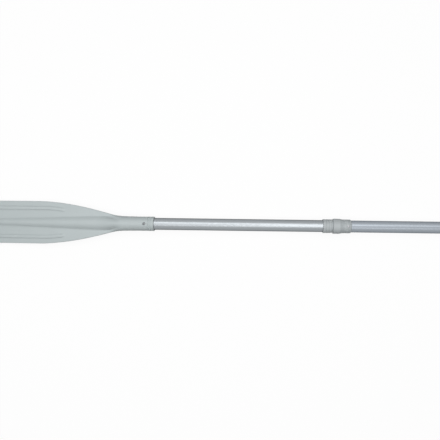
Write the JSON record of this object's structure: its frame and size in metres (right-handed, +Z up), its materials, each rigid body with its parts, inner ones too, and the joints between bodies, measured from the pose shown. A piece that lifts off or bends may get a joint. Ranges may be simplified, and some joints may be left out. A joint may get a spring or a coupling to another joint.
{
  "type": "oar",
  "caption": "Take-apart rowing oar: ribbed spoon blade riveted to an anodised tube, twist-lock joint in mid shaft, clamped stop and rubber grip.",
  "frame": {"origin": "on the ground under the middle of the oar's length, as it lies flat with the blade's ribbed back up", "axes": "+X along the shaft from the blade to the handle, +Z up"},
  "size_m": [2.1, 0.126, 0.062],
  "materials": {
    "blade_plastic": "moulded, fine matt grain",
    "joint_plastic": "moulded, satin",
    "anodised_tube": "satin anodised, drawn lengthwise",
    "rivet_metal": "plain",
    "spigot_plastic": "moulded, smooth",
    "seal_rubber": "smooth",
    "plug_foam": "closed-cell foam",
    "grip_rubber": "matt, finely grained",
    "stop_plastic": "moulded, satin",
    "screw_steel": "stainless"
  },
  "bodies": {
    "lower_half": {"blade": "blade_plastic", "blade_rivet_front": "rivet_metal", "blade_rivet_back": "rivet_metal", "lower_tube": "anodised_tube", "lower_tube_plug": "plug_foam", "joint_spigot": "spigot_plastic"},
    "upper_half": {"coupler": "joint_plastic", "coupler_rivet_front": "rivet_metal", "coupler_rivet_back": "rivet_metal", "joint_seal": "seal_rubber", "upper_tube": "anodised_tube", "upper_tube_plug": "plug_foam", "grip": "grip_rubber", "end_cap": "grip_rubber"},
    "lock_ring": {"lock_ring": "joint_plastic"},
    "oar_stop": {"oar_stop": "stop_plastic", "stop_screw": "screw_steel", "stop_washer": "screw_steel", "stop_nut": "screw_steel"}
  },
  "joints": [
    {"name": "upper_half_pull_off", "type": "slide", "parent": "lower_half", "child": "upper_half", "axis": [1, 0, 0], "range_m": [0, 0.07]},
    {"name": "lock_ring_turn", "type": "hinge", "parent": "upper_half", "child": "lock_ring", "pos_m": [0.0552, 0, 0.031], "axis": [1, 0, 0], "range_deg": [0, 120]},
    {"name": "oar_stop_slide", "type": "slide", "parent": "upper_half", "child": "oar_stop", "axis": [1, 0, 0], "range_m": [-0.3, 0.43]}
  ]
}
